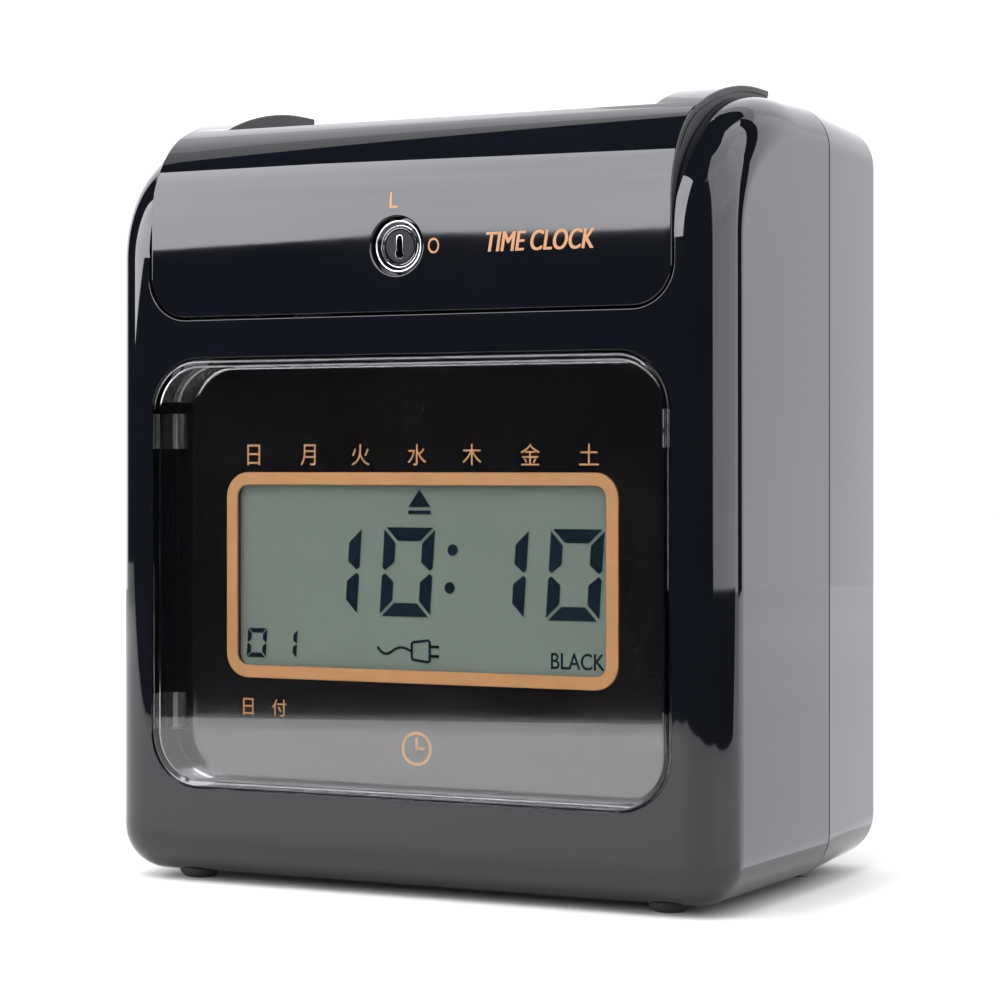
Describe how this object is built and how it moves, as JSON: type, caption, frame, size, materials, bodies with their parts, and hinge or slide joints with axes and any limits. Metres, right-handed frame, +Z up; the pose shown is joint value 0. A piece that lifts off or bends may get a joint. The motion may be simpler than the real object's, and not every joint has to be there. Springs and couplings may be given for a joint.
{
  "type": "punch time clock",
  "caption": "Desk time recorder: drafted two-part case, clear display window, hinged lockable top cover with two arms, card slot, printing carriage and card feed.",
  "frame": {"origin": "on the table, under the middle of the case", "axes": "+X to the right seen from the front, +Y to the back, +Z up"},
  "size_m": [0.1936, 0.1232, 0.2235],
  "materials": {
    "gloss_black": "polished black with a cool tint",
    "matte_black": "fine moulded grain",
    "clear_window": "clear polished acrylic",
    "panel_black": "black film behind the window",
    "copper_print": "metallic copper ink",
    "lcd": "grey green reflective display",
    "circuit_board": "solder mask",
    "components": "moulded packages",
    "white_plastic": "acetal",
    "key_grey": "satin",
    "cassette": "satin",
    "ribbon": "inked nylon",
    "rubber": "matt",
    "sheet_steel": "zinc plated",
    "bright_steel": "ground",
    "chrome": "polished",
    "dark_metal": "blackened zinc",
    "brass": "turned",
    "aluminium": "die cast",
    "battery": "shrink sleeve"
  },
  "bodies": {
    "case": {"front_housing": "gloss_black", "rear_housing": "gloss_black", "rubber_feet": "rubber", "case_screws": "bright_steel", "wall_inserts": "brass", "hinge_pins": "bright_steel", "dc_jack": "matte_black", "display_lens": "clear_window", "display_panel": "panel_black", "display_bezel": "copper_print", "lcd_glass": "lcd", "lcd_tray": "matte_black", "display_board": "circuit_board", "top_deck": "matte_black", "card_guide_rear": "sheet_steel", "card_guide_front": "sheet_steel", "platen": "sheet_steel", "card_sensor": "components", "side_plate_left": "sheet_steel", "side_plate_right": "sheet_steel", "shaft_bushes": "brass", "frame_screws": "bright_steel", "bay_floor_plate": "sheet_steel", "feed_motor": "sheet_steel", "guide_rod": "bright_steel", "carriage_belt": "rubber", "carriage_motor": "sheet_steel", "shift_solenoid": "sheet_steel", "key_panel": "matte_black", "key_mat": "rubber", "key_board": "circuit_board", "main_board": "circuit_board", "board_components": "components", "backup_battery": "battery", "buzzer": "components", "flat_cable": "white_plastic"},
    "cover": {"upper_cover": "gloss_black", "lock_body": "chrome", "lock_nut": "chrome"},
    "lock": {"lock_plug": "dark_metal", "lock_cam": "bright_steel"},
    "feed": {"feed_shaft": "bright_steel", "feed_rollers": "rubber", "feed_gear": "white_plastic"},
    "pinch": {"pinch_shaft": "bright_steel", "pinch_rollers": "rubber"},
    "pinion": {"motor_pinion": "white_plastic"},
    "carriage": {"print_carriage": "matte_black", "print_head": "aluminium"},
    "drive": {"drive_pulley": "white_plastic"},
    "idler": {"idler_pulley": "white_plastic"},
    "carrier": {"cassette_carrier": "matte_black", "ribbon_cassette": "cassette", "ink_ribbon": "ribbon", "solenoid_plunger": "bright_steel"},
    "knob": {"ribbon_knob": "white_plastic"},
    "date_button": {"date_key": "key_grey"},
    "hour_button": {"hour_key": "key_grey"},
    "minute_button": {"minute_key": "key_grey"},
    "enter_button": {"enter_key": "key_grey"}
  },
  "joints": [
    {"name": "cover_hinge", "type": "hinge", "parent": "case", "child": "cover", "pos_m": [0, 0.0096, 0.2178], "axis": [-1, 0, 0], "range_deg": [0, 70]},
    {"name": "lock_turn", "type": "hinge", "parent": "cover", "child": "lock", "pos_m": [-0.001, -0.0575, 0.178], "axis": [0, 1, 0], "range_deg": [0, 90]},
    {"name": "feed_spin", "type": "hinge", "parent": "case", "child": "feed", "pos_m": [0, 0.0056, 0.14], "axis": [1, 0, 0], "continuous": true},
    {"name": "pinch_spin", "type": "hinge", "parent": "case", "child": "pinch", "pos_m": [0, -0.0102, 0.14], "axis": [1, 0, 0], "continuous": true},
    {"name": "pinion_spin", "type": "hinge", "parent": "case", "child": "pinion", "pos_m": [0.054, 0.02056, 0.13215], "axis": [1, 0, 0], "continuous": true},
    {"name": "carriage_slide", "type": "slide", "parent": "case", "child": "carriage", "axis": [1, 0, 0], "range_m": [-0.03, 0.03]},
    {"name": "drive_pulley_spin", "type": "hinge", "parent": "case", "child": "drive", "pos_m": [0.049, -0.03, 0.158], "axis": [0, 0, 1], "range_deg": [-330, 330]},
    {"name": "idler_pulley_spin", "type": "hinge", "parent": "case", "child": "idler", "pos_m": [-0.049, -0.03, 0.158], "axis": [0, 0, 1], "range_deg": [-330, 330]},
    {"name": "ribbon_shift", "type": "slide", "parent": "case", "child": "carrier", "axis": [0, 0, 1], "range_m": [0, 0.004]},
    {"name": "ribbon_knob_turn", "type": "hinge", "parent": "carrier", "child": "knob", "pos_m": [-0.026, -0.0415, 0.199], "axis": [0, 0, 1], "continuous": true},
    {"name": "date_press", "type": "slide", "parent": "case", "child": "date_button", "axis": [0, 1, 0], "range_m": [0, 0.001], "stiffness_N_per_m": 300},
    {"name": "hour_press", "type": "slide", "parent": "case", "child": "hour_button", "axis": [0, 1, 0], "range_m": [0, 0.001], "stiffness_N_per_m": 300},
    {"name": "minute_press", "type": "slide", "parent": "case", "child": "minute_button", "axis": [0, 1, 0], "range_m": [0, 0.001], "stiffness_N_per_m": 300},
    {"name": "enter_press", "type": "slide", "parent": "case", "child": "enter_button", "axis": [0, 1, 0], "range_m": [0, 0.001], "stiffness_N_per_m": 300}
  ],
  "couplings": [
    {"joint": "pinch_spin", "follows": "feed_spin", "ratio": -1.4516},
    {"joint": "pinion_spin", "follows": "feed_spin", "ratio": -3},
    {"joint": "drive_pulley_spin", "follows": "carriage_slide", "rad_per_m": 188.68},
    {"joint": "idler_pulley_spin", "follows": "carriage_slide", "rad_per_m": 188.68}
  ]
}
